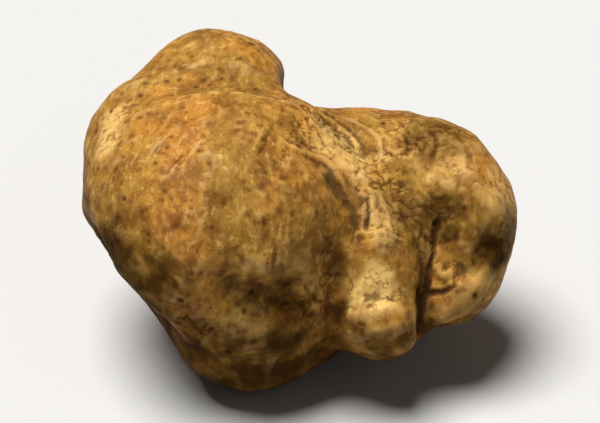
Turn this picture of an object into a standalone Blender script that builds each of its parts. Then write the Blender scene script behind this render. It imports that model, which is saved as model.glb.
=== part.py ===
"""White truffle: one lobed tuber, grown as a single piece, resting on a small flat spot.

Blender 4.5, metres, +Z up. The origin is on the surface it rests on, under the middle of
its bounding box. +X is the longest side, and the furrowed face looks along -Y.
"""

from typing import NamedTuple

import bmesh
import bpy
import numpy as np
from mathutils import Euler, Matrix, Vector, noise
from mathutils.bvhtree import BVHTree

# Driving dimensions, in metres.
MM = 0.001
LENGTH = 113 * MM  # along X, across the bulb and the folded lobe
FLAT_SPOT_CUT = 1.6 * MM  # how much of the underside the flat spot takes off
SKIN_GRID = 1.6 * MM  # spacing of the points that the furrows are pressed into
TRIANGLES = 6400
SHORTEST_EDGE = 0.1 * MM

# Slow unevenness of the whole tuber.
SWELL_SIZE = 15 * MM
SWELL_HEIGHT = 0.9 * MM
KNURL_SIZE = 6 * MM
KNURL_HEIGHT = 0.35 * MM

# A metaball's grid can't be finer than this, so the lobes are run together at
# ENLARGED times their real size.
ENLARGED = 100
GRID = 0.25
FIELD_THRESHOLD = 0.6
FIELD_STIFFNESS = 4.0

COLOUR = (0.42, 0.22, 0.07, 1.0)
ROUGHNESS = 0.6


class Lobe(NamedTuple):
    """One swelling of the tuber: centre and half-axes in millimetres, turn in degrees."""

    name: str
    centre: tuple
    radii: tuple
    turn: tuple = (0, 0, 0)


class Furrow(NamedTuple):
    """A valley pressed in along points near the skin, in millimetres.

    A negative depth raises a ridge.
    """

    name: str
    points: tuple
    width: float
    depth: float


LOBES = (
    Lobe("bulb", (-20, -6, 48), (36, 36, 32)),
    Lobe("belly", (-12, -12, 24), (25, 26, 23)),
    Lobe("flank", (-30, -5, 42), (19, 22, 18)),
    Lobe("knob", (-22, 25, 58), (20, 21, 22)),
    Lobe("shoulder", (-38, 9, 56), (16, 18, 18)),
    Lobe("plateau", (20, 8, 47), (22, 20, 18)),
    Lobe("plateau_end", (36, 5, 48), (15, 16, 15)),
    Lobe("cheek", (39, -4, 41), (17, 18, 19)),
    Lobe("lip", (38, -13, 29), (12, 12.5, 10)),
    Lobe("ridge_top", (14, -10, 50), (12, 11, 11)),
    Lobe("ridge", (20, -19, 41), (11, 11, 11)),
    Lobe("nose", (20, -25, 28), (13, 13, 12)),
    Lobe("heel", (12, 22, 28), (25, 23, 25)),
    Lobe("seat", (-5, 3, 15), (25, 23, 15)),
)

FURROWS = (
    # The furrowed face.
    Furrow(
        "knob_crease",
        ((-52, 4, 62), (-44, 2, 71), (-34, 4, 76), (-22, 7, 79), (-10, 5, 78), (0, 6, 72)),
        8,
        2.4,
    ),
    Furrow("knob_side", ((0, 10, 72), (-1, 22, 66), (-2, 34, 54), (-6, 42, 42)), 8, 3.4),
    Furrow("groove_head", ((-4, -6, 77), (2, -12, 73), (8, -17, 66)), 10, 1.5),
    Furrow(
        "main_groove",
        (
            (5, -15, 70),
            (9, -17, 65),
            (12, -19, 58),
            (13, -23, 51),
            (11, -29, 42),
            (8, -33, 31),
            (6, -30, 16),
        ),
        5.2,
        2.7,
    ),
    Furrow(
        "pale_ridge",
        ((8, -8, 72), (15, -14, 63), (19, -20, 55), (20, -26, 48), (19, -31, 41)),
        8,
        -1.5,
    ),
    Furrow("nose_bulge", ((18, -34, 39), (20, -36, 34), (21, -36, 28)), 12, -2.8),
    Furrow("hollow", ((39, -12, 59), (38, -17, 53), (37, -21, 46), (36, -24, 38)), 12, 2.8),
    Furrow(
        "cleft",
        ((34, -18, 52), (33, -21, 46), (33, -23, 40), (32, -25, 34), (36, -25, 32), (42, -24, 34)),
        3.2,
        1.3,
    ),
    Furrow("lip_edge", ((33, -29, 30), (39, -28, 32), (45, -25, 36), (50, -20, 42)), 6, -1.8),
    Furrow("nose_gap", ((32, -24, 36), (31, -30, 30), (30, -29, 20)), 3.6, 3.2),
    Furrow("belly_hollow", ((-24, -39, 52), (-14, -41, 45), (-4, -39, 41), (6, -34, 42)), 10, 4.2),
    Furrow("belly_swell", ((-22, -38, 32), (-14, -39, 31), (-6, -37, 30)), 11, -1.6),
    Furrow(
        "flank_taper",
        ((-56, -8, 48), (-54, -13, 40), (-50, -18, 33), (-44, -23, 27), (-38, -27, 20), (-30, -30, 12)),
        20,
        5.2,
    ),
    Furrow("saddle", ((4, 2, 72), (12, 0, 66), (20, -7, 61)), 8, 1.6),
    Furrow("cheek_bulge", ((47, -10, 57), (50, -15, 50), (49, -18, 44)), 8, -1.6),
    Furrow("plateau_fold", ((27, 4, 64), (34, -4, 63), (42, -8, 60)), 6, 1.0),
    # The far side.
    Furrow("back_cleft", ((6, 36, 62), (3, 44, 48), (-2, 44, 34), (-6, 40, 18)), 8, 4.0),
    Furrow("back_fold", ((-50, 18, 46), (-38, 34, 38), (-24, 42, 34), (-12, 42, 36)), 8, 3.0),
    Furrow("heel_fold", ((10, 34, 54), (22, 34, 50), (36, 24, 48), (48, 12, 40)), 6, 2.4),
    Furrow("heel_pit", ((22, 42, 40), (28, 40, 35), (33, 37, 31), (35, 34, 25)), 6, 1.8),
    Furrow("cheek_seam", ((50, 8, 32), (42, 14, 20), (32, 18, 10)), 6, 3.0),
    Furrow("flank_dent", ((-56, -8, 38), (-52, -12, 30)), 9, 2.2),
)


def clear_scene():
    for obj in list(bpy.data.objects):
        bpy.data.objects.remove(obj, do_unlink=True)


def visible_share():
    """Where a lone lobe's surface lies, as a share of its field's radius."""
    return (1 - (FIELD_THRESHOLD / FIELD_STIFFNESS) ** (1 / 3)) ** 0.5


def lobes_mesh():
    """The lobes run together as one skin, in metres."""
    field = bpy.data.metaballs.new("lobes")
    field.resolution = GRID
    field.render_resolution = GRID
    field.threshold = FIELD_THRESHOLD
    obj = bpy.data.objects.new("lobes", field)
    bpy.context.scene.collection.objects.link(obj)
    for lobe in LOBES:
        ball = field.elements.new(type="ELLIPSOID")
        ball.co = [ENLARGED * MM * c for c in lobe.centre]
        ball.radius = 1.0
        reach = [ENLARGED * MM * r / visible_share() for r in lobe.radii]
        ball.size_x, ball.size_y, ball.size_z = reach
        ball.stiffness = FIELD_STIFFNESS
        ball.rotation = Euler([np.radians(a) for a in lobe.turn]).to_quaternion()
    bpy.context.view_layer.update()
    graph = bpy.context.evaluated_depsgraph_get()
    mesh = bpy.data.meshes.new_from_object(obj.evaluated_get(graph))
    bpy.data.objects.remove(obj, do_unlink=True)
    mesh.transform(Matrix.Scale(1 / ENLARGED, 4))
    return mesh


def shaped(mesh, *modifiers):
    """The mesh after modifiers, each given as a type and its settings."""
    obj = bpy.data.objects.new("shaping", mesh)
    bpy.context.scene.collection.objects.link(obj)
    for kind, settings in modifiers:
        modifier = obj.modifiers.new(kind, kind)
        for key, value in settings.items():
            setattr(modifier, key, value)
    bpy.context.view_layer.update()
    graph = bpy.context.evaluated_depsgraph_get()
    result = bpy.data.meshes.new_from_object(obj.evaluated_get(graph))
    bpy.data.objects.remove(obj, do_unlink=True)
    return result


def points_and_normals(mesh):
    count = len(mesh.vertices)
    points = np.empty(count * 3)
    mesh.vertices.foreach_get("co", points)
    normals = np.empty(count * 3, dtype=np.float32)
    mesh.vertex_normals.foreach_get("vector", normals)
    return points.reshape(-1, 3), normals.reshape(-1, 3).astype(float)


def move(mesh, points):
    mesh.vertices.foreach_set("co", points.ravel())
    mesh.update()


def course(mesh, points):
    """A smooth run through the points, laid on the skin."""
    tree = BVHTree.FromPolygons([v.co for v in mesh.vertices], [p.vertices for p in mesh.polygons])
    marks = [Vector(p) * MM for p in points]
    marks = [marks[0] * 2 - marks[1], *marks, marks[-1] * 2 - marks[-2]]
    run = []
    for a, b, c, d in zip(marks, marks[1:], marks[2:], marks[3:]):
        for t in np.linspace(0, 1, 16):
            bend = 2 * a - 5 * b + 4 * c - d
            twist = 3 * b - a - 3 * c + d
            spot = 0.5 * (2 * b + (c - a) * t + bend * t**2 + twist * t**3)
            run.append(tree.find_nearest(spot)[0])
    return np.array(run)


def press(mesh, furrow):
    """Push the skin in along a furrow, fading out to its width and towards its ends."""
    run = course(mesh, furrow.points)
    points, normals = points_and_normals(mesh)
    gaps = np.linalg.norm(points[:, None, :] - run[None, :, :], axis=2)
    nearest = gaps.argmin(axis=1)
    across = np.clip(gaps.min(axis=1) / (furrow.width * MM), 0, 1)
    along = nearest / (len(run) - 1)
    ends = np.clip(np.sin(np.pi * along) * 1.6, 0, 1)
    fall = (1 - across**2) ** 2 * ends
    move(mesh, points - normals * (furrow.depth * MM * fall)[:, None])


def roughen(mesh):
    """Slow swells and finer knurls over the whole skin."""
    points, normals = points_and_normals(mesh)
    height = []
    for point in points:
        swell = noise.noise(Vector(point) / SWELL_SIZE)
        knurl = noise.noise(Vector(point) / KNURL_SIZE + Vector((7, 3, 5)))
        height.append(SWELL_HEIGHT * swell + KNURL_HEIGHT * knurl)
    move(mesh, points + normals * np.array(height)[:, None])


def cut_flat_spot(mesh):
    """Plane off the underside so that the tuber rests on a flat spot."""
    bm = bmesh.new()
    bm.from_mesh(mesh)
    level = min(v.co.z for v in bm.verts) + FLAT_SPOT_CUT
    everything = [*bm.verts, *bm.edges, *bm.faces]
    bmesh.ops.bisect_plane(
        bm, geom=everything, plane_co=(0, 0, level), plane_no=(0, 0, 1), clear_inner=True
    )
    rim = [e for e in bm.edges if e.is_boundary]
    bmesh.ops.holes_fill(bm, edges=rim, sides=0)
    bmesh.ops.remove_doubles(bm, verts=bm.verts, dist=SHORTEST_EDGE)
    bmesh.ops.triangulate(bm, faces=[f for f in bm.faces if len(f.verts) > 3])
    bm.to_mesh(mesh)
    bm.free()


def settle(mesh):
    """Bring the tuber to its length and put the origin under the middle of its box."""
    points, _ = points_and_normals(mesh)
    low, high = points.min(axis=0), points.max(axis=0)
    middle = (low + high) / 2
    middle[2] = low[2]
    move(mesh, (points - middle) * LENGTH / (high[0] - low[0]))


def skin_material():
    material = bpy.data.materials.new("truffle_skin")
    material.use_nodes = True
    shader = material.node_tree.nodes["Principled BSDF"]
    shader.inputs["Base Color"].default_value = COLOUR
    shader.inputs["Roughness"].default_value = ROUGHNESS
    material.diffuse_color = COLOUR
    return material


def truffle():
    mesh = lobes_mesh()
    mesh = shaped(
        mesh,
        ("REMESH", {"mode": "VOXEL", "voxel_size": SKIN_GRID}),
        ("SMOOTH", {"factor": 0.5, "iterations": 8}),
    )
    for furrow in FURROWS:
        press(mesh, furrow)
    roughen(mesh)
    share = TRIANGLES / (2 * len(mesh.polygons))
    mesh = shaped(
        mesh,
        ("TRIANGULATE", {}),
        ("DECIMATE", {"ratio": share}),
    )
    cut_flat_spot(mesh)
    settle(mesh)
    mesh.name = "truffle"
    mesh.materials.clear()
    mesh.materials.append(skin_material())
    return bpy.data.objects.new("truffle", mesh)


def main():
    clear_scene()
    parts = bpy.data.collections.new("white_truffle")
    bpy.context.scene.collection.children.link(parts)
    parts.objects.link(truffle())


main()
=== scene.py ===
"""White truffle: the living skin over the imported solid, and the table top it lies on."""

import math
from typing import NamedTuple

import bmesh
import bpy
import numpy as np
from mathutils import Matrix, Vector, kdtree, noise
from mathutils.bvhtree import BVHTree


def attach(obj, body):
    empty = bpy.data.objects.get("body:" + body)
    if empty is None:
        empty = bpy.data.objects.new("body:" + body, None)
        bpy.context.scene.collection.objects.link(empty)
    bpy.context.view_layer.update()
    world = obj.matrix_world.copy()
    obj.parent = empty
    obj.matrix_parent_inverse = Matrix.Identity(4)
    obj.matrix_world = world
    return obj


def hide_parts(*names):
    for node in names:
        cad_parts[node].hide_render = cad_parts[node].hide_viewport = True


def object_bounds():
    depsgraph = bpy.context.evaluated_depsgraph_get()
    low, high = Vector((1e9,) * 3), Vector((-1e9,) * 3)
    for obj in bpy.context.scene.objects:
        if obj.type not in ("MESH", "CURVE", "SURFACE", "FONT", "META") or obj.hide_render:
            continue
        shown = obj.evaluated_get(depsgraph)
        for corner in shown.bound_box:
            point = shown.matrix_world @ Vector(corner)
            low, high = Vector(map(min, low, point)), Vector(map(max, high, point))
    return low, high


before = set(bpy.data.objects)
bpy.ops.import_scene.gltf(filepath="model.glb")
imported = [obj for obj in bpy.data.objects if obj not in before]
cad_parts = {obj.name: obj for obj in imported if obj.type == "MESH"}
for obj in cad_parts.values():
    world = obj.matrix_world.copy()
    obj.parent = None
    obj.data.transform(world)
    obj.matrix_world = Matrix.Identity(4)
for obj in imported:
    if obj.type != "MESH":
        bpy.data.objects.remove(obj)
CAD_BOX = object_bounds()

bl_info = {
    "name": "White Truffle",
    "version": (1, 0, 0),
    "blender": (4, 5, 0),
    "location": "3D View > Sidebar > Truffle",
    "description": "Grows a white truffle's skin over its solid and sets it in a studio",
    "category": "Add Mesh",
}

MM = 0.001
NODE = "truffle"
BODY = "root"

CAD_LOW, CAD_HIGH = CAD_BOX
CAD_MIDDLE = (CAD_LOW + CAD_HIGH) / 2
CAD_LENGTH = CAD_HIGH.x - CAD_LOW.x

WELD = 0.01 * MM
FACET_SMOOTHING = 0.5
SPREADING = 0.5  # how far a round of averaging takes a value towards its neighbours'
EASING_ROUNDS = 320
FLAT_SPOT_BAND = 2.5 * MM  # relief fades out this close to the resting surface

COURSE_STEP = 0.4 * MM
COURSE_STEPS_LEAST = 4
STROKE_END_FADE = 1.8  # the higher, the shorter a stroke's tapering ends
PATCH_EDGE = 0.6  # the share of a patch's depth over which it fades in
PATCH_RAGGEDNESS = 0.45
SOIL_AND_SHADE_RAGGEDNESS = 0.6
PALE_OVER_SOIL_AND_SHADE = 0.8  # how much of the soil stain and painted shade stays off pale skin

# Directions in which a pattern's shift moves the place where its noise is read.
NOISE_SHIFT_WAY = (1, 1.7, -1)
CELL_SHIFT_WAY = (1, -1, 0.6)


class Shift:
    """How far along the noise each pattern is read, so that no two patterns line up."""

    EDGES, FINE_EDGES, WAVER = 3.1, 8.2, 5.5
    WARP = (11, 23, 37)
    LUMPS, SMALL_LUMPS = 1.3, 4.4
    FOLDS, CRESTS, CELLS = 6.0, 14.0, 2.0
    HAIRLINES, HAIRLINE_AREAS = 31.0, 17.0
    GRAIN, FRECKLES = 9.0, 19.0


# Noise that makes edges ragged, makes strokes waver and bends the folds.
EDGE_SIZE = 6 * MM
FINE_EDGE_SIZE, FINE_EDGE_SHARE = 2.5 * MM, 0.5
WAVER_SIZE, WAVER_SHARE = 2.2 * MM, 0.3
DENT_WAVER_SHARE = 0.2
WARP_SIZE, WARP_REACH = 4 * MM, 1.4 * MM

# Fine relief. Bare sizes, heights and depths are shares of the panel's; thicknesses, edges,
# levels and contrasts are on the noise's own scale, and a freckle's are shares of its cell.
SMALL_LUMPS_FINER, SMALL_LUMP_HEIGHT = 2.3, 0.45
FOLD_THICKNESS = 0.14
CREST_SIZE, CREST_HEIGHT = 0.6, 0.6
CELL_SIZE, CELL_DEPTH, CELL_EDGE = 0.75, 0.4, 0.25
HAIRLINE_SIZE, HAIRLINE_DEPTH, HAIRLINE_THICKNESS = 4.5, 0.2, 0.03
HAIRLINE_AREA_SIZE, HAIRLINE_AREA_CONTRAST = 30 * MM, 2
GRAIN_LEVEL = 0.5
GRAIN_ON_SMOOTH, GRAIN_ON_ROUGH = 0.4, 0.8
FRECKLE_RADIUS, FRECKLE_EDGE = 0.42, 0.30
FRECKLE_LEVEL, FRECKLE_CONTRAST, FRECKLES_OFF_PALE = 0.5, 2, 0.5

# Pits: how many places are tried for each, the chance of one on smooth skin, radii and depths.
PIT_TRIES = 3
PIT_CHANCE = 0.25
PIT_RADII = (0.7, 1.5)  # millimetres
PIT_DEPTHS = (0.15, 0.35)  # shares of the radius

# Rounds of averaging behind each kind of crease, and the depth at which a mask is full.
FINE_CREASE_ROUNDS, FINE_CREASE_FULL = 8, 0.10 * MM
BROAD_CREASE_ROUNDS, BROAD_CREASE_FULL = 120, 0.9 * MM
CRACK_FULL = 1.0 * MM
PIT_FULL = 0.4 * MM


class Stroke(NamedTuple):
    """A line worked into the skin near its points, in millimetres. A negative depth raises it."""

    points: tuple
    width: float
    depth: float


class Patch(NamedTuple):
    """A rounded area of skin: its middle and half-axes, in millimetres, and its strength."""

    centre: tuple
    radii: tuple
    strength: float


# Clefts and cracks, most of them on the furrowed face.
CRACKS = (
    Stroke(((36, -15, 50), (34, -17, 46), (33, -19, 40), (32, -22, 34)), 1.2, 0.7),
    Stroke(((32, -21, 35), (33, -22, 31), (37, -23, 31), (41, -23, 33)), 1.3, 0.9),
    Stroke(((32, -24, 32), (31, -28, 29), (30, -30, 25)), 1.5, 0.9),
    Stroke(((17, -21, 59), (17, -24, 55), (16, -26, 51)), 1.1, 0.7),
    Stroke(((0, -34, 43), (3, -35, 38), (6, -33, 34)), 1.2, 0.35),
    Stroke(((27, 2, 63), (28, -3, 62), (26, -7, 61)), 1.4, 0.4),
    Stroke(((34, 4, 64), (35, -2, 63), (33, -7, 60)), 1.3, 0.3),
    Stroke(((40, 3, 62), (43, -4, 60), (43, -9, 57)), 1.3, 0.3),
    Stroke(((28, 34, 46), (35, 30, 42), (40, 25, 36)), 1.2, 0.5),
    Stroke(((4, 38, 60), (2, 44, 48), (-2, 44, 36)), 1.4, 0.5),
)

# Thin raised threads on the rough saddle and the ridge, and the flap beside the cleft.
THREADS = (
    Stroke(((-6, -17, 75), (-1, -19, 72), (7, -16, 66), (13, -19, 57)), 1.3, -0.45),
    Stroke(((-6, -4, 77), (-1, -2, 75), (3, -5, 74), (6, -9, 71)), 1.2, -0.4),
    Stroke(((-2, 2, 75), (4, 1, 72), (9, -3, 69), (12, -8, 65)), 1.1, -0.35),
    Stroke(((4, 5, 70), (9, 3, 67), (14, -2, 65), (16, -8, 63)), 1.2, -0.4),
    Stroke(((10, 7, 66), (15, 4, 65), (20, -1, 63), (21, -8, 60)), 1.1, -0.3),
    Stroke(((19, -18, 58), (21, -22, 52), (20, -26, 46)), 1.2, -0.3),
    Stroke(((35, -20, 39), (37, -22, 35), (40, -22, 36)), 1.8, -0.7),
)

# The waist between the ridge and its nose, filled out before the folds are eased.
FILLS = (
    Stroke(((20, -24, 50), (20, -30, 43), (19, -35, 37)), 9.0, -2.4),
    Stroke(((14, -26, 48), (12, -31, 42), (11, -34, 34)), 6.0, -1.2),
)

# Where the solid's folds are eased: the ridge's waist and sides, and the bulb's crown.
EASED_PATCHES = (
    Patch((19, -29, 44), (14, 12, 13), 1.0),
    Patch((33, -17, 46), (9, 11, 14), 1.0),
    Patch((10, -28, 44), (7, 12, 18), 0.85),
    Patch((-24, 4, 78), (26, 8, 8), 0.6),
)

# Broad, shallow hollows that break up the smooth bulb, and the lip's band and valley.
DENTS = (
    Stroke(((-24, -34, 60), (-14, -36, 56), (-6, -34, 55)), 9, 0.7),
    Stroke(((-40, -26, 52), (-46, -20, 46)), 9, 0.9),
    Stroke(((-34, -20, 71), (-26, -24, 69)), 8, 0.5),
    Stroke(((-10, -20, 76), (-2, -22, 71)), 8, 0.6),
    Stroke(((-30, -36, 36), (-22, -38, 30)), 8, 0.8),
    Stroke(((-8, -36, 22), (0, -33, 18)), 7, 0.7),
    Stroke(((38, -24, 37), (43, -23, 38), (47, -20, 42), (49, -15, 47)), 4.5, 1.0),
    Stroke(((33, -30, 27), (38, -30, 29), (44, -27, 32), (49, -21, 38)), 5, -0.9),
    Stroke(((-20, 30, 76), (-12, 30, 72)), 7, 0.5),
)

# Where the skin is rough and scurfy.
ROUGH_PATCHES = (
    Patch((30, 22, 56), (12, 10, 10), 0.5),
    Patch((-50, 20, 44), (10, 12, 12), 0.45),
    Patch((6, -6, 70), (15, 15, 10), 1.0),
    Patch((20, -14, 60), (9, 12, 13), 0.8),
    Patch((33, -18, 48), (9, 9, 14), 0.6),
    Patch((30, 3, 64), (15, 13, 8), 0.55),
    Patch((10, 30, 52), (18, 16, 18), 0.6),
    Patch((-30, 42, 40), (20, 10, 9), 0.5),
    Patch((44, 14, 36), (12, 14, 14), 0.5),
    Patch((4, -34, 36), (9, 9, 12), 0.4),
)

# Where the skin is paler: dry skin on the ridge, the nose and the saddle, and painted highlights on
# the shoulder and the nose's bright top.
PALE_AND_HIGHLIGHT_PATCHES = (
    # The nose: pale dry skin, and in part a painted highlight on its top.
    Patch((18, -35, 40), (10, 8, 8), 1.0),
    Patch((20, -22, 49), (6, 9, 14), 0.6),
    Patch((12, -10, 66), (13, 14, 10), 0.75),
    Patch((52, -10, 52), (6, 12, 10), 0.45),
    Patch((40, -9, 60), (8, 5, 6), 0.4),
    # Painted highlight on the left shoulder.
    Patch((-48, -6, 68), (8, 12, 7), 0.8),
    Patch((-15, -40, 35), (10, 7, 6), 0.35),
    Patch((24, 30, 46), (16, 14, 12), 0.4),
)

# Where the skin is darkened: soil stains, and painted shade on the underside, the lower bulb, the
# hollow and flank beside the ridge, and under the lip.
SOIL_AND_SHADE_PATCHES = (
    # Painted shade: darker towards the bottom, on the underside and the lower bulb.
    Patch((-14, -18, 0), (60, 64, 72), 1.0),
    Patch((-46, -30, 38), (30, 28, 29), 1.0),
    Patch((22, -37, 28), (12, 10, 8), 0.7),
    Patch((31, -22, 34), (5, 7, 8), 0.8),
    Patch((24, -26, 12), (38, 26, 30), 1.0),
    Patch((8, -30, 42), (7, 10, 18), 0.4),
    # Painted shade in the hollow and on the ridge's right flank.
    Patch((36, -17, 48), (9, 9, 12), 0.85),
    Patch((29, -19, 49), (5, 7, 13), 0.55),
    Patch((-56, -12, 42), (12, 24, 24), 0.6),
    Patch((30, 4, 6), (38, 38, 22), 0.9),
    Patch((49, -17, 43), (13, 13, 13), 1.0),
    Patch((36, 2, 62), (13, 12, 7), 0.6),
    Patch((42, -29, 30), (14, 8, 9), 0.45),
)


# ---------------------------------------------------------------- mesh work


def skin_mesh(settings):
    """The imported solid's mesh, welded, evened out to a fine grid and freed of its facets."""
    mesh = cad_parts[NODE].data.copy()
    welded = bmesh.new()
    welded.from_mesh(mesh)
    bmesh.ops.remove_doubles(welded, verts=welded.verts, dist=WELD)
    welded.to_mesh(mesh)
    welded.free()
    carrier = bpy.data.objects.new("skin_carrier", mesh)
    bpy.context.scene.collection.objects.link(carrier)
    remesh = carrier.modifiers.new("even_grid", "REMESH")
    remesh.mode = "VOXEL"
    remesh.voxel_size = settings.grid
    soften = carrier.modifiers.new("facets_off", "SMOOTH")
    soften.factor = FACET_SMOOTHING
    soften.iterations = settings.soften
    bpy.context.view_layer.update()
    graph = bpy.context.evaluated_depsgraph_get()
    fine = bpy.data.meshes.new_from_object(carrier.evaluated_get(graph))
    bpy.data.objects.remove(carrier, do_unlink=True)
    return fine


def ease(mesh, rounds):
    """Let the skin sag evenly over its tightest folds."""
    points = points_of(mesh)
    share = patch_mask(points, EASED_PATCHES, np.zeros(len(points)))
    eased = neighbours_mean(mesh, points, rounds)
    points += share[:, None] * (eased - points)
    mesh.vertices.foreach_set("co", points.ravel())
    mesh.update()


def points_of(mesh):
    points = np.empty(len(mesh.vertices) * 3)
    mesh.vertices.foreach_get("co", points)
    return points.reshape(-1, 3)


def normals_of(mesh):
    normals = np.empty(len(mesh.vertices) * 3, dtype=np.float32)
    mesh.vertex_normals.foreach_get("vector", normals)
    return normals.reshape(-1, 3).astype(float)


def raise_skin(mesh, height):
    """Move every point of the skin out along its normal by its height."""
    points = points_of(mesh) + normals_of(mesh) * height[:, None]
    mesh.vertices.foreach_set("co", points.ravel())
    mesh.update()


def course_on(tree, points):
    """A smooth run through the points, a Catmull-Rom curve, laid on the skin."""
    marks = [Vector(point) * MM for point in points]
    marks = [marks[0] * 2 - marks[1], *marks, marks[-1] * 2 - marks[-2]]
    run = []
    for a, b, c, d in zip(marks, marks[1:], marks[2:], marks[3:]):
        count = max(COURSE_STEPS_LEAST, int((c - b).length / COURSE_STEP))
        for t in np.linspace(0, 1, count, endpoint=False):
            bend = 2 * a - 5 * b + 4 * c - d
            twist = 3 * b - a - 3 * c + d
            spot = 0.5 * (2 * b + (c - a) * t + bend * t**2 + twist * t**3)
            run.append(tree.find_nearest(spot)[0])
    return np.array(run)


def stroke_height(points, run, stroke, waver):
    """The height that one stroke gives each point: rounded across, fading towards its ends."""
    height = np.zeros(len(points))
    reach = stroke.width * MM
    low, high = run.min(axis=0) - reach, run.max(axis=0) + reach
    near = np.flatnonzero(((points > low) & (points < high)).all(axis=1))
    gaps = np.linalg.norm(points[near, None, :] - run[None, :, :], axis=2)
    across = np.clip(gaps.min(axis=1) / (reach * (1 + waver[near])), 0, 1)
    along = gaps.argmin(axis=1) / (len(run) - 1)
    ends = np.clip(np.sin(np.pi * along) * STROKE_END_FADE, 0, 1)
    height[near] = -stroke.depth * MM * (1 - across**2) ** 2 * ends
    return height


def strokes_height(mesh, strokes, waver):
    points = points_of(mesh)
    faces = [polygon.vertices for polygon in mesh.polygons]
    tree = BVHTree.FromPolygons([vertex.co for vertex in mesh.vertices], faces)
    height = np.zeros(len(points))
    for stroke in strokes:
        run = course_on(tree, stroke.points)
        height += stroke_height(points, run, stroke, waver)
    return height


def patch_mask(points, patches, ragged):
    """How far each point lies inside any of the patches, 0 to 1, with a ragged edge."""
    mask = np.zeros(len(points))
    for patch in patches:
        offset = (points / MM - np.array(patch.centre)) / np.array(patch.radii)
        depth = 1 - np.linalg.norm(offset, axis=1) + PATCH_RAGGEDNESS * ragged
        mask = np.maximum(mask, patch.strength * smooth_step(depth / PATCH_EDGE))
    return mask


def smooth_step(value):
    t = np.clip(value, 0, 1)
    return t * t * (3 - 2 * t)


def noise_at(points, size, shift):
    """Smooth noise, about -1 to 1, whose lumps are about size metres across."""
    offset = Vector([shift * way for way in NOISE_SHIFT_WAY])
    return np.array([noise.noise(Vector(point) / size + offset) for point in points])


def folds_at(points, size, shift, thickness=FOLD_THICKNESS):
    """Thin winding lines about size metres apart: 1 on a line, 0 away from it."""
    return smooth_step(1 - np.abs(noise_at(points, size, shift)) / thickness)


def cells_at(points, size, shift):
    """Distances to the nearest cell's middle and to its edge, for cells size metres across."""
    middles, edges = [], []
    offset = Vector([shift * way for way in CELL_SHIFT_WAY])
    for point in points:
        near = noise.voronoi(Vector(point) / size + offset)[0]
        middles.append(near[0])
        edges.append(near[1] - near[0])
    return np.array(middles), np.array(edges)


def neighbours_mean(mesh, values, rounds):
    """Values spread out over the mesh by averaging along its edges, round after round."""
    ends = np.empty(len(mesh.edges) * 2, dtype=np.int32)
    mesh.edges.foreach_get("vertices", ends)
    first, second = ends.reshape(-1, 2).T
    count = np.bincount(first, minlength=len(values))
    count += np.bincount(second, minlength=len(values))
    for _ in range(rounds):
        total = np.empty_like(values)
        for axis in range(values.shape[1]):
            column = values[:, axis]
            total[:, axis] = np.bincount(first, column[second], len(values))
            total[:, axis] += np.bincount(second, column[first], len(values))
        values = (1 - SPREADING) * values + SPREADING * total / count[:, None]
    return values


def cavity_of(mesh, rounds):
    """How far each point lies below the smoothed skin around it, in metres; negative on bumps."""
    points = points_of(mesh)
    smoothed = neighbours_mean(mesh, points, rounds)
    return ((smoothed - points) * normals_of(mesh)).sum(axis=1)


def pits_height(points, settings, rough):
    """Small round pits, scattered by chance and thicker on rough skin."""
    rng = np.random.default_rng(settings.seed)
    height = np.zeros(len(points))
    lookup = kdtree.KDTree(len(points))
    for index, point in enumerate(points):
        lookup.insert(point, index)
    lookup.balance()
    middles = rng.choice(len(points), settings.pits * PIT_TRIES, replace=False)
    chances = PIT_CHANCE + (1 - PIT_CHANCE) * rough
    kept = [middle for middle in middles if rng.random() < chances[middle]][: settings.pits]
    for middle in kept:
        radius = rng.uniform(*PIT_RADII) * MM
        depth = radius * rng.uniform(*PIT_DEPTHS)
        for _, index, gap in lookup.find_range(points[middle], radius):
            height[index] -= depth * (1 - (gap / radius) ** 2) ** 2
    return height


def store(mesh, name, values):
    attribute = mesh.attributes.new(name, "FLOAT", "POINT")
    attribute.data.foreach_set("value", values.astype(np.float32))


def freckles_at(bent, settings, ragged, pale):
    """Round freckles, 0 to 1, one to a cell, in clusters and fainter on pale skin."""
    middles, _ = cells_at(bent, settings.freckle_size, Shift.FRECKLES)
    freckles = smooth_step((FRECKLE_RADIUS - middles) / FRECKLE_EDGE)
    freckles = freckles * smooth_step(FRECKLE_LEVEL + FRECKLE_CONTRAST * ragged)
    return freckles * (1 - FRECKLES_OFF_PALE * pale)


def folds_height(bent, settings):
    """Wrinkles of rough skin: winding furrows, crests between them, and a net of creases."""
    depth, size = settings.fold_depth, settings.fold_size
    folds = -depth * folds_at(bent, size, Shift.FOLDS)
    folds += CREST_HEIGHT * depth * folds_at(bent, CREST_SIZE * size, Shift.CRESTS)
    _, edges = cells_at(bent, CELL_SIZE * size, Shift.CELLS)
    folds -= CELL_DEPTH * depth * (1 - smooth_step(edges / CELL_EDGE))
    return folds


def hairlines_height(points, bent, settings):
    """Long thin cracks, in a few areas only."""
    size = HAIRLINE_SIZE * settings.fold_size
    hairlines = folds_at(bent, size, Shift.HAIRLINES, HAIRLINE_THICKNESS)
    areas = noise_at(points, HAIRLINE_AREA_SIZE, Shift.HAIRLINE_AREAS)
    areas = smooth_step(HAIRLINE_AREA_CONTRAST * areas)
    return hairlines * (-HAIRLINE_DEPTH * settings.fold_depth * areas)


def lumps_height(points, settings):
    height, size = settings.lump_height, settings.lump_size
    lumps = height * noise_at(points, size, Shift.LUMPS)
    fine_size = size / SMALL_LUMPS_FINER
    lumps += SMALL_LUMP_HEIGHT * height * noise_at(points, fine_size, Shift.SMALL_LUMPS)
    return lumps


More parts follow.
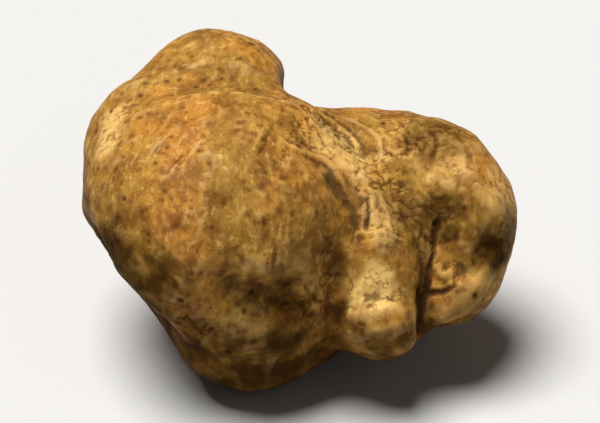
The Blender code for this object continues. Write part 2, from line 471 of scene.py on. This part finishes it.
def worked_skin(settings):
    """The fine skin with all its relief, and masks for its colours."""
    mesh = skin_mesh(settings)
    raise_skin(mesh, strokes_height(mesh, FILLS, np.zeros(len(mesh.vertices))))
    ease(mesh, EASING_ROUNDS)

    points = points_of(mesh)
    ragged = noise_at(points, EDGE_SIZE, Shift.EDGES)
    ragged += FINE_EDGE_SHARE * noise_at(points, FINE_EDGE_SIZE, Shift.FINE_EDGES)
    rough = patch_mask(points, ROUGH_PATCHES, ragged)
    # Paler skin: dry scurf, and painted highlights on the shoulder and the nose's top.
    pale = patch_mask(points, PALE_AND_HIGHLIGHT_PATCHES, ragged)
    # Soil stains, and painted shade on the underside, the lower bulb and in the hollows.
    soil_and_shade = patch_mask(points, SOIL_AND_SHADE_PATCHES, SOIL_AND_SHADE_RAGGEDNESS * ragged)
    soil_and_shade *= 1 - PALE_OVER_SOIL_AND_SHADE * pale

    raise_skin(mesh, strokes_height(mesh, DENTS, DENT_WAVER_SHARE * ragged))
    waver = WAVER_SHARE * noise_at(points, WAVER_SIZE, Shift.WAVER)
    cracks = strokes_height(mesh, CRACKS, waver)
    raise_skin(mesh, cracks + strokes_height(mesh, THREADS, waver))

    points = points_of(mesh)
    warp = np.stack([noise_at(points, WARP_SIZE, shift) for shift in Shift.WARP], axis=1)
    bent = points + WARP_REACH * warp
    grains, _ = cells_at(points, settings.grain_size, Shift.GRAIN)
    grain = settings.grain_height * (GRAIN_LEVEL - grains)
    grain *= GRAIN_ON_SMOOTH + GRAIN_ON_ROUGH * rough
    freckles = freckles_at(bent, settings, ragged, pale)
    pits = pits_height(points, settings, rough)
    relief = lumps_height(points, settings) + folds_height(bent, settings) * rough
    relief = relief + hairlines_height(points, bent, settings) + grain
    relief = relief - settings.freckle_depth * freckles + pits
    above = points[:, 2] - CAD_LOW.z
    relief *= smooth_step(above / FLAT_SPOT_BAND)
    raise_skin(mesh, relief)

    fine = cavity_of(mesh, FINE_CREASE_ROUNDS) / FINE_CREASE_FULL
    broad = cavity_of(mesh, BROAD_CREASE_ROUNDS) / BROAD_CREASE_FULL
    store(mesh, "pale", pale)
    store(mesh, "soil_and_shade", soil_and_shade)
    store(mesh, "cracks", np.clip(-cracks / CRACK_FULL, 0, 1))
    store(mesh, "freckles", freckles)
    store(mesh, "pits", np.clip(-pits / PIT_FULL, 0, 1))
    store(mesh, "fine_creases", np.clip(fine, -1, 1))
    store(mesh, "broad_creases", np.clip(broad, -1, 1))
    for polygon in mesh.polygons:
        polygon.use_smooth = True
    return mesh


# ---------------------------------------------------------------- materials


class Pattern(NamedTuple):
    """Noise in a material: the size of its lumps in metres, and how fine and how bent it is."""

    size: float
    detail: float = 3.0
    roughness: float = 0.55
    distortion: float = 0.0


class Ramp(NamedTuple):
    """A smooth change from start to end while a value goes from low to high."""

    low: float
    high: float
    start: float = 0.0
    end: float = 1.0


MOTTLE = Pattern(7 * MM, 5.0, 0.60, 0.5)
SPECKLE = Pattern(1.6 * MM, 4.0, 0.70)
FLECKS = Pattern(2.6 * MM, 6.0, 0.75, 0.3)
WARMTH = Pattern(20 * MM, 2.0)
BRUSHING = Pattern(1.5 * MM)
GRIT = Pattern(0.8 * MM, 4.0, 0.65)
PAPER_CLOUDS = Pattern(0.25, 2.0)
BRUSHING_STRETCH = (1.0, 0.45, 0.45)

# How much of a colour comes in along each pattern or mask.
OCHRE_OVER_OLIVE = Ramp(0.42, 0.60)
ORANGE_WHERE_WARM = Ramp(0.52, 0.68, 0.0, 0.70)
BROWN_MOTTLING = Ramp(0.58, 0.36, 0.0, 0.75)
BROWN_BRUSHING = Ramp(0.50, 0.34, 0.0, 0.30)
PALE_BRUSHING = Ramp(0.54, 0.70, 0.0, 0.22)
PALE_BROKEN_UP = Ramp(0.32, 0.58, 0.45, 1.0)
BROWN_SPECKLE = Ramp(0.45, 0.32, 0.0, 0.45)
BROWN_FLECKS = Ramp(0.48, 0.38, 0.0, 0.75)
PALE_FLECKS = Ramp(0.55, 0.66, 0.0, 0.42)
PALE_ON_CRESTS = Ramp(-0.2, -1.0, 0.0, 0.35)
FRECKLE_STRENGTH = Ramp(0.62, 0.45, 0.25, 0.75)
# How strongly the soil stains and the painted shade come in.
SOIL_AND_SHADE_STRENGTH = Ramp(0.70, 0.38, 0.74, 0.97)
# Painted shade: broad folds, fine creases, pits and cracks are darkened as if shaded.
SHADE_IN_FOLDS = Ramp(0.10, 1.0, 0.0, 0.40)
SHADE_IN_CREASES = Ramp(0.15, 1.0, 0.0, 0.60)
SHADE_IN_PITS = Ramp(0.2, 1.0, 0.0, 0.60)
SHADE_IN_CRACKS = Ramp(0.25, 1.0, 0.0, 0.92)

ROUGHNESS_IN_CREASES = Ramp(-0.8, 0.6, 0.52, 0.85)
SHEEN_UNDER_SOIL_AND_SHADE = Ramp(0.0, 0.9, 0.14, 0.02)
GRIT_HEIGHT, BRUSHING_HEIGHT = 0.6, 0.5
BUMP_STRENGTH, BUMP_DEPTH = 0.55, 0.25 * MM

PAPER_SHADE = 0.97  # the darker parts of the paper, as a share of its colour
PAPER_ROUGHNESS = 0.85
PAPER_SHEEN = 0.2


class Board:
    """A material's or world's nodes, made and wired by short calls."""

    def __init__(self, tree):
        self.tree = tree

    def node(self, kind, **settings):
        made = self.tree.nodes.new(kind)
        for key, value in settings.items():
            setattr(made, key, value)
        return made

    def wire(self, source, target):
        self.tree.links.new(source, target)

    def attribute(self, name):
        return self.node("ShaderNodeAttribute", attribute_name=name).outputs["Fac"]

    def place(self):
        return self.node("ShaderNodeTexCoord").outputs["Object"]

    def stretched(self, place, scale):
        """Places scaled by axis, so that a pattern there is drawn out along the small ones."""
        made = self.node("ShaderNodeMapping")
        made.inputs["Scale"].default_value = scale
        self.wire(place, made.inputs["Vector"])
        return made.outputs["Vector"]

    def noise(self, place, pattern):
        """A pattern's noise at a place, 0 to 1."""
        made = self.node("ShaderNodeTexNoise")
        made.inputs["Scale"].default_value = 1 / pattern.size
        made.inputs["Detail"].default_value = pattern.detail
        made.inputs["Roughness"].default_value = pattern.roughness
        made.inputs["Distortion"].default_value = pattern.distortion
        self.wire(place, made.inputs["Vector"])
        return made.outputs["Fac"]

    def along(self, value, ramp):
        """Where a value stands on a ramp."""
        made = self.node("ShaderNodeMapRange", interpolation_type="SMOOTHSTEP")
        self.wire(value, made.inputs["Value"])
        for name, number in zip(("From Min", "From Max", "To Min", "To Max"), ramp):
            made.inputs[name].default_value = number
        return made.outputs["Result"]

    def calculate(self, operation, first, second):
        """Two values worked together; each is a socket or a number."""
        made = self.node("ShaderNodeMath", operation=operation)
        for socket, value in zip(made.inputs, (first, second)):
            if isinstance(value, (int, float)):
                socket.default_value = value
            else:
                self.wire(value, socket)
        return made.outputs[0]

    def mix(self, share, first, second):
        """Two colours mixed by a share, which is a socket; each is a socket or a colour."""
        made = self.node("ShaderNodeMix", data_type="RGBA")
        self.wire(share, made.inputs["Factor"])
        colours = [socket for socket in made.inputs if socket.type == "RGBA"]
        for socket, value in zip(colours, (first, second)):
            if isinstance(value, bpy.types.NodeSocket):
                self.wire(value, socket)
            else:
                socket.default_value = (*value[:3], 1.0)
        return next(socket for socket in made.outputs if socket.type == "RGBA")


def skin_material(settings):
    """Ochre skin, mottled with brown, paler where dry, with painted highlights on the shoulder and
    the nose, painted shade in creases, pits, cracks, folds, hollows and on the underside, and
    darker where soil clings.
    """
    material = bpy.data.materials.new("truffle_skin")
    material.use_nodes = True
    board = Board(material.node_tree)
    shader = material.node_tree.nodes["Principled BSDF"]
    place = board.place()

    mottle = board.noise(place, MOTTLE)
    speckle = board.noise(place, SPECKLE)
    flecks = board.noise(place, FLECKS)
    warmth = board.noise(place, WARMTH)
    brushing = board.noise(board.stretched(place, BRUSHING_STRETCH), BRUSHING)
    grit = board.noise(place, GRIT)
    pale = board.attribute("pale")
    soil_and_shade = board.attribute("soil_and_shade")
    fine = board.attribute("fine_creases")

    pale_share = board.calculate("MULTIPLY", pale, board.along(speckle, PALE_BROKEN_UP))
    freckles = board.attribute("freckles")
    freckle_share = board.calculate("MULTIPLY", freckles, board.along(mottle, FRECKLE_STRENGTH))
    soil_and_shade_share = board.calculate("MULTIPLY", soil_and_shade, board.along(mottle, SOIL_AND_SHADE_STRENGTH))
    colour = board.mix(board.along(warmth, OCHRE_OVER_OLIVE), settings.olive, settings.ochre)
    for share, over in (
        (board.along(warmth, ORANGE_WHERE_WARM), settings.orange),
        (board.along(mottle, BROWN_MOTTLING), settings.brown),
        (board.along(brushing, BROWN_BRUSHING), settings.brown),
        (board.along(brushing, PALE_BRUSHING), settings.pale),
        # Pale dry skin, and painted highlights on the shoulder and the nose's top.
        (pale_share, settings.pale),
        (board.along(speckle, BROWN_SPECKLE), settings.brown),
        (board.along(flecks, BROWN_FLECKS), settings.brown),
        (board.along(flecks, PALE_FLECKS), settings.pale),
        (board.along(fine, PALE_ON_CRESTS), settings.pale),
        (freckle_share, settings.brown),
        # Soil stains, and painted shade on the underside, the lower bulb and in the hollows.
        (soil_and_shade_share, settings.soil_and_shade),
        # Painted shade in the broad folds.
        (board.along(board.attribute("broad_creases"), SHADE_IN_FOLDS), settings.soil_and_shade),
        # Painted shade in fine creases, pits and cracks.
        (board.along(fine, SHADE_IN_CREASES), settings.crease_shade),
        (board.along(board.attribute("pits"), SHADE_IN_PITS), settings.crease_shade),
        (board.along(board.attribute("cracks"), SHADE_IN_CRACKS), settings.crease_shade),
    ):
        colour = board.mix(share, colour, over)
    board.wire(colour, shader.inputs["Base Color"])
    board.wire(board.along(fine, ROUGHNESS_IN_CREASES), shader.inputs["Roughness"])
    board.wire(board.along(soil_and_shade, SHEEN_UNDER_SOIL_AND_SHADE), shader.inputs["Specular IOR Level"])

    grit_height = board.calculate("MULTIPLY", grit, GRIT_HEIGHT)
    brushing_height = board.calculate("MULTIPLY", brushing, BRUSHING_HEIGHT)
    bump = board.node("ShaderNodeBump")
    bump.inputs["Strength"].default_value = BUMP_STRENGTH
    bump.inputs["Distance"].default_value = BUMP_DEPTH
    board.wire(board.calculate("ADD", grit_height, brushing_height), bump.inputs["Height"])
    board.wire(bump.outputs["Normal"], shader.inputs["Normal"])
    return material


def floor_material(settings):
    """Matt pale paper, with a trace of unevenness."""
    material = bpy.data.materials.new("floor_paper")
    material.use_nodes = True
    board = Board(material.node_tree)
    shader = material.node_tree.nodes["Principled BSDF"]
    clouds = board.noise(board.place(), PAPER_CLOUDS)
    shade = [PAPER_SHADE * channel for channel in settings.floor_colour]
    board.wire(board.mix(clouds, shade, settings.floor_colour), shader.inputs["Base Color"])
    shader.inputs["Roughness"].default_value = PAPER_ROUGHNESS
    shader.inputs["Specular IOR Level"].default_value = PAPER_SHEEN
    return material


# ---------------------------------------------------------------- settings


def colour_property(name, description, default):
    return bpy.props.FloatVectorProperty(
        name=name,
        description=description,
        default=default,
        subtype="COLOR",
        size=3,
        min=0,
        max=1,
    )


def length_property(name, description, default):
    return bpy.props.FloatProperty(
        name=name,
        description=description,
        default=default,
        subtype="DISTANCE",
        unit="LENGTH",
        min=0,
    )


def number_property(name, description, default):
    return bpy.props.FloatProperty(name=name, description=description, default=default, min=0)


class TRUFFLE_PG_skin(bpy.types.PropertyGroup):
    grid: length_property("Grid", "Spacing of the skin's points", 0.66 * MM)
    soften: bpy.props.IntProperty(
        name="Soften", description="Rounds of smoothing that take the facets off", default=26, min=0
    )
    lump_size: length_property("Lump size", "Distance across a slow lump", 7 * MM)
    lump_height: length_property("Lump height", "Height of the slow lumps", 0.34 * MM)
    fold_size: length_property("Fold size", "Distance between the folds of rough skin", 4.2 * MM)
    fold_depth: length_property("Fold depth", "Depth of the folds on rough skin", 0.42 * MM)
    grain_size: length_property("Grain size", "Distance across a grain of the skin", 1.7 * MM)
    grain_height: length_property("Grain height", "Height of the skin's grain", 0.16 * MM)
    freckle_size: length_property("Freckle spacing", "Distance between freckles", 3.1 * MM)
    freckle_depth: length_property("Freckle depth", "Depth of a freckle's dimple", 0.13 * MM)
    pits: bpy.props.IntProperty(name="Pits", description="How many small pits", default=90, min=0)
    seed: bpy.props.IntProperty(name="Seed", description="Chance pattern of the pits", default=7)
    ochre: colour_property("Ochre", "Main colour of the skin", (0.40, 0.180, 0.024))
    orange: colour_property("Orange", "Warm areas of the skin", (0.41, 0.158, 0.019))
    olive: colour_property("Olive", "Cool, yellowish areas of the skin", (0.31, 0.160, 0.022))
    brown: colour_property("Brown", "Brown mottling", (0.16, 0.058, 0.007))
    # Also the colour of the painted highlights on the shoulder and the nose's top.
    pale: colour_property("Pale", "Dry, scurfy skin", (0.70, 0.435, 0.135))
    # Colour of the soil stains, and of the painted shade on the underside, in hollows and in broad
    # folds.
    soil_and_shade: colour_property("Soil", "Soil stains", (0.035, 0.014, 0.002))
    # Colour of the painted shade in fine creases, pits and cracks.
    crease_shade: colour_property("Dark", "Deep creases and specks", (0.028, 0.011, 0.004))


class TRUFFLE_PG_studio(bpy.types.PropertyGroup):
    floor_size: length_property("Floor size", "Side of the square floor", 12.0)
    floor_colour: colour_property("Floor colour", "Colour of the floor", (0.52, 0.51, 0.495))
    key_strength: number_property("Key light", "Strength of the broad light from above", 5.5)
    fill_strength: number_property("Fill light", "Strength of the weak light in front", 0.2)
    sky: number_property("Sky", "Strength of the even light", 0.06)
    backdrop: number_property("Backdrop", "Brightness of the backdrop behind the floor", 0.75)
    elevation: bpy.props.FloatProperty(
        name="Elevation",
        description="Camera angle above the floor",
        default=math.radians(34),
        subtype="ANGLE",
    )
    lens: number_property("Lens", "Focal length in millimetres", 180)
    fill_share: number_property("Width in frame", "Share of the frame's width it takes", 0.72)


# ---------------------------------------------------------------- operators


class TRUFFLE_OT_grow_skin(bpy.types.Operator):
    """Grow the tuber's skin over its solid"""

    bl_idname = "truffle.grow_skin"
    bl_label = "Grow Skin"

    def execute(self, context):
        settings = context.scene.truffle_skin
        mesh = worked_skin(settings)
        mesh.name = "skin_mesh"
        mesh.materials.clear()
        mesh.materials.append(skin_material(settings))
        skin = bpy.data.objects.new("skin", mesh)
        context.scene.collection.objects.link(skin)
        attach(skin, BODY)
        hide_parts(NODE)
        return {"FINISHED"}


class Sun(NamedTuple):
    """Where a light stands as seen from the tuber, and how wide it looks from there."""

    towards: tuple
    angle: float


KEY = Sun((-0.15, -0.03, 0.62), math.radians(32))
FILL = Sun((0.45, -0.5, 0.35), math.radians(60))
AIR_COLOUR = (1.0, 0.96, 0.90, 1.0)


def soft_sun(name, sun, strength):
    """A broad light from far away, so that the floor is lit alike all over."""
    light = bpy.data.lights.new(name, "SUN")
    light.energy = strength
    light.angle = sun.angle
    lamp = bpy.data.objects.new(name, light)
    lamp.location = sun.towards
    lamp.rotation_mode = "QUATERNION"
    lamp.rotation_quaternion = Vector(sun.towards).to_track_quat("Z", "Y")
    bpy.context.scene.collection.objects.link(lamp)


def studio_air(settings):
    """Dim, even light all round, behind a backdrop as pale as the floor."""
    world = bpy.data.worlds.new("studio_air")
    world.use_nodes = True
    board = Board(world.node_tree)
    air = world.node_tree.nodes["Background"]
    air.inputs["Color"].default_value = AIR_COLOUR
    seen = board.node("ShaderNodeLightPath").outputs["Is Camera Ray"]
    strength = board.along(seen, Ramp(0, 1, settings.sky, settings.backdrop))
    board.wire(strength, air.inputs["Strength"])
    return world


def studio_camera(settings):
    """A camera in front of the furrowed face, raised to its elevation."""
    camera = bpy.data.cameras.new("camera")
    camera.lens = settings.lens
    half = math.atan(camera.sensor_width / 2 / camera.lens)
    distance = CAD_LENGTH / settings.fill_share / 2 / math.tan(half)
    back = Vector((0, -math.cos(settings.elevation), math.sin(settings.elevation)))
    placed = bpy.data.objects.new("camera", camera)
    placed.location = CAD_MIDDLE + back * distance
    placed.rotation_mode = "QUATERNION"
    placed.rotation_quaternion = (-back).to_track_quat("-Z", "Y")
    bpy.context.scene.collection.objects.link(placed)
    bpy.context.scene.camera = placed


class TRUFFLE_OT_set_studio(bpy.types.Operator):
    """Lay the floor, hang the lights and place the camera"""

    bl_idname = "truffle.set_studio"
    bl_label = "Set Studio"

    def execute(self, context):
        settings = context.scene.truffle_studio
        sheet = bpy.data.meshes.new("floor_mesh")
        flat = bmesh.new()
        bmesh.ops.create_grid(flat, x_segments=1, y_segments=1, size=settings.floor_size / 2)
        flat.to_mesh(sheet)
        flat.free()
        sheet.materials.append(floor_material(settings))
        floor = bpy.data.objects.new("floor", sheet)
        floor.location.z = CAD_LOW.z
        context.scene.collection.objects.link(floor)

        soft_sun("key", KEY, settings.key_strength)
        soft_sun("fill", FILL, settings.fill_strength)
        context.scene.world = studio_air(settings)
        context.scene.view_settings.view_transform = "Standard"
        studio_camera(settings)
        return {"FINISHED"}


class TRUFFLE_PT_panel(bpy.types.Panel):
    """The truffle's pieces and settings"""

    bl_idname = "TRUFFLE_PT_panel"
    bl_label = "White Truffle"
    bl_space_type = "VIEW_3D"
    bl_region_type = "UI"
    bl_category = "Truffle"

    def draw(self, context):
        for settings, operator in (
            (context.scene.truffle_skin, TRUFFLE_OT_grow_skin),
            (context.scene.truffle_studio, TRUFFLE_OT_set_studio),
        ):
            box = self.layout.box()
            box.operator(operator.bl_idname)
            for name in type(settings).__annotations__:
                box.prop(settings, name)


CLASSES = (
    TRUFFLE_PG_skin,
    TRUFFLE_PG_studio,
    TRUFFLE_OT_grow_skin,
    TRUFFLE_OT_set_studio,
    TRUFFLE_PT_panel,
)


def register():
    for cls in CLASSES:
        bpy.utils.register_class(cls)
    bpy.types.Scene.truffle_skin = bpy.props.PointerProperty(type=TRUFFLE_PG_skin)
    bpy.types.Scene.truffle_studio = bpy.props.PointerProperty(type=TRUFFLE_PG_studio)


def unregister():
    del bpy.types.Scene.truffle_studio
    del bpy.types.Scene.truffle_skin
    for cls in reversed(CLASSES):
        bpy.utils.unregister_class(cls)


def main():
    register()
    bpy.ops.truffle.grow_skin()
    bpy.ops.truffle.set_studio()


if __name__ == "__main__":
    main()
